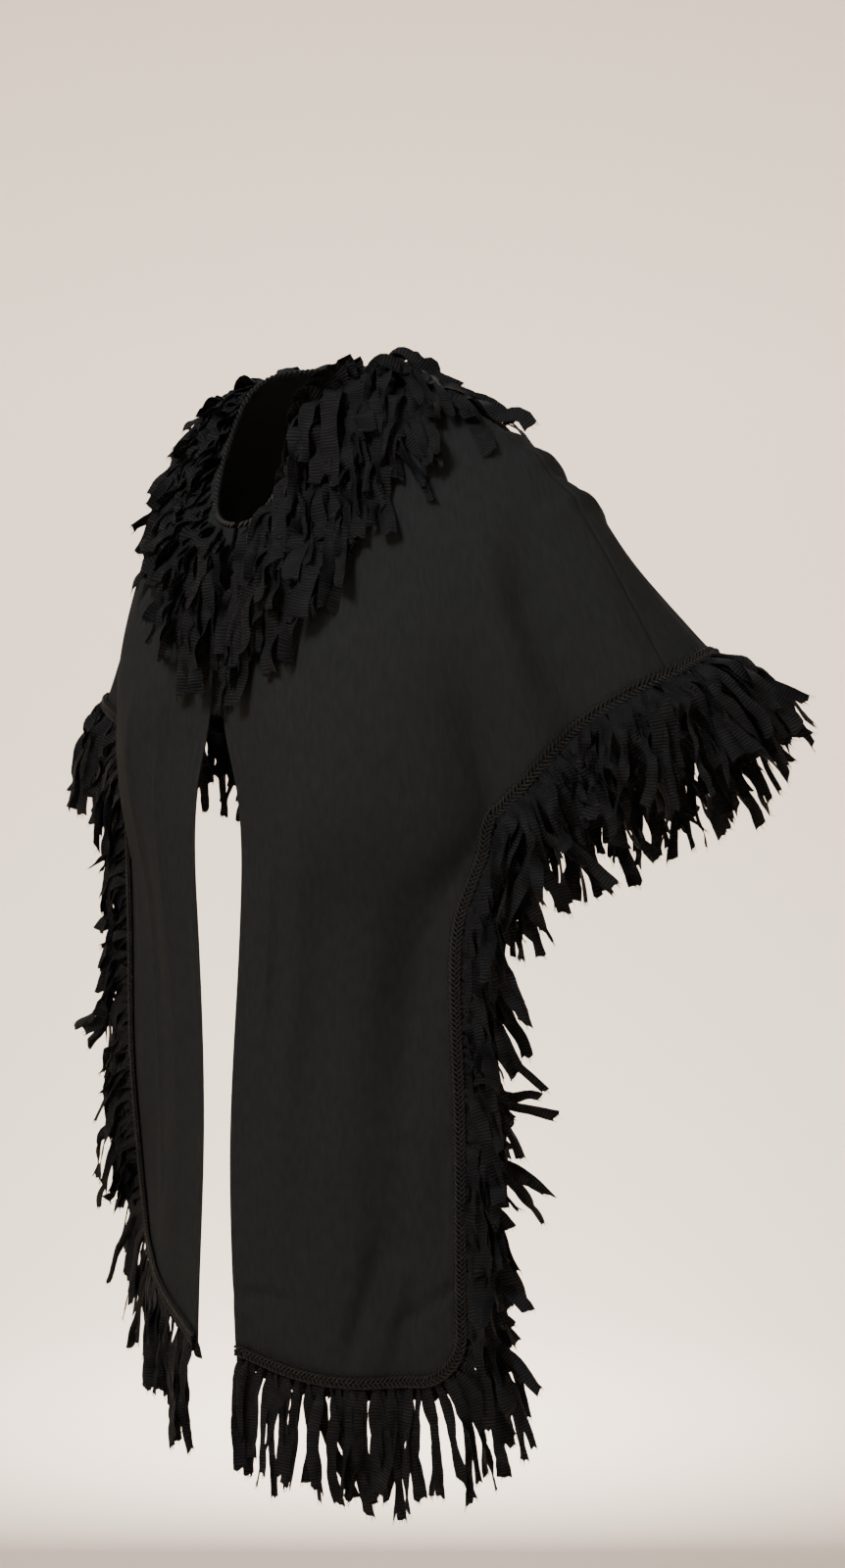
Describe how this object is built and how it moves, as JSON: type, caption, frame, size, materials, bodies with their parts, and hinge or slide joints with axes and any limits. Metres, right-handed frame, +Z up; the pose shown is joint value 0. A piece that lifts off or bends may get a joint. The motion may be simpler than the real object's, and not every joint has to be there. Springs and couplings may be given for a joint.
{
  "type": "ribbon-fringed shoulder cape",
  "caption": "Short black shoulder cape with two long rounded stole fronts, a ribbon fringe along its lower edge and a ruff of the same ribbons in tiers at the neck.",
  "frame": {"origin": "the middle of the neckline, level with the base of the wearer's neck, where the neck and shoulders hold the cape up", "axes": "+Z is up, -Y is the wearer's front and +X is out to the wearer's left"},
  "size_m": [0.6788, 0.3535, 0.7963],
  "materials": {
    "wool_cloth": "fine plain-woven wool, soft and matt",
    "ribbon": "thin cross-ribbed ribbon and flat woven braid, slightly crisp",
    "cord_binding": "narrow twisted cord"
  },
  "bodies": {
    "root": {"front_left": "wool_cloth", "front_right": "wool_cloth", "back": "wool_cloth", "neck_binding": "cord_binding", "ruff_top": "ribbon", "ruff_middle": "ribbon", "ruff_low": "ribbon", "fringe_hem_left": "ribbon", "fringe_hem_right": "ribbon", "fringe_side_left": "ribbon", "fringe_side_right": "ribbon", "fringe_arm_left": "ribbon", "fringe_arm_right": "ribbon", "fringe_back": "ribbon"}
  },
  "joints": []
}
